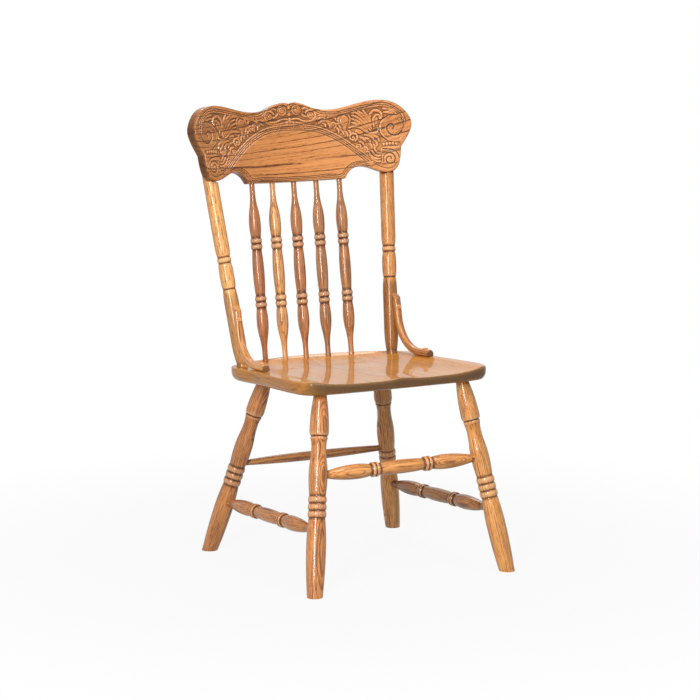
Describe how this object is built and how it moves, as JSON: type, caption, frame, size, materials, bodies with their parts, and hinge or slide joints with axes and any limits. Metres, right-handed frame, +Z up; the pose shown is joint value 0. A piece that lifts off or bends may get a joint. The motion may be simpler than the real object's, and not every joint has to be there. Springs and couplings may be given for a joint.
{
  "type": "pressback side chair",
  "caption": "Wooden side chair with a saddled plank seat, splayed turned legs and stretchers, and a back of turned spindles and posts under a bent crest with pressed scrollwork.",
  "frame": {"origin": "on the floor, under the middle of the whole chair", "axes": "+X to the right of someone facing the chair's front, +Y to the back, +Z up"},
  "size_m": [0.595, 0.6222, 1.0388],
  "materials": {
    "seat_oak": "gloss lacquer over stained oak",
    "crest_oak": "gloss lacquer over stained oak",
    "post_oak": "gloss lacquer over stained oak",
    "spindle_oak": "gloss lacquer over stained oak",
    "leg_oak": "gloss lacquer over stained oak",
    "stretcher_oak": "gloss lacquer over stained oak",
    "bracket_oak": "gloss lacquer over stained oak",
    "plug_oak": "gloss lacquer over stained oak",
    "button_oak": "gloss lacquer over stained oak",
    "screw_steel": "bright plated"
  },
  "bodies": {
    "root": {"seat_board_1": "seat_oak", "seat_board_2": "seat_oak", "seat_board_3": "seat_oak", "seat_board_4": "seat_oak", "seat_board_5": "seat_oak", "seat_board_6": "seat_oak", "seat_board_7": "seat_oak", "crest_rail": "crest_oak", "post_left": "post_oak", "post_right": "post_oak", "spindle_1": "spindle_oak", "spindle_2": "spindle_oak", "spindle_3": "spindle_oak", "spindle_4": "spindle_oak", "spindle_5": "spindle_oak", "leg_front_left": "leg_oak", "leg_front_right": "leg_oak", "leg_rear_left": "leg_oak", "leg_rear_right": "leg_oak", "stretcher_front": "stretcher_oak", "stretcher_back": "stretcher_oak", "stretcher_left": "stretcher_oak", "stretcher_right": "stretcher_oak", "hip_bracket_left": "bracket_oak", "hip_bracket_right": "bracket_oak", "crest_plugs": "plug_oak", "bracket_buttons": "button_oak", "crest_screws": "screw_steel", "bracket_screws": "screw_steel"}
  },
  "joints": []
}
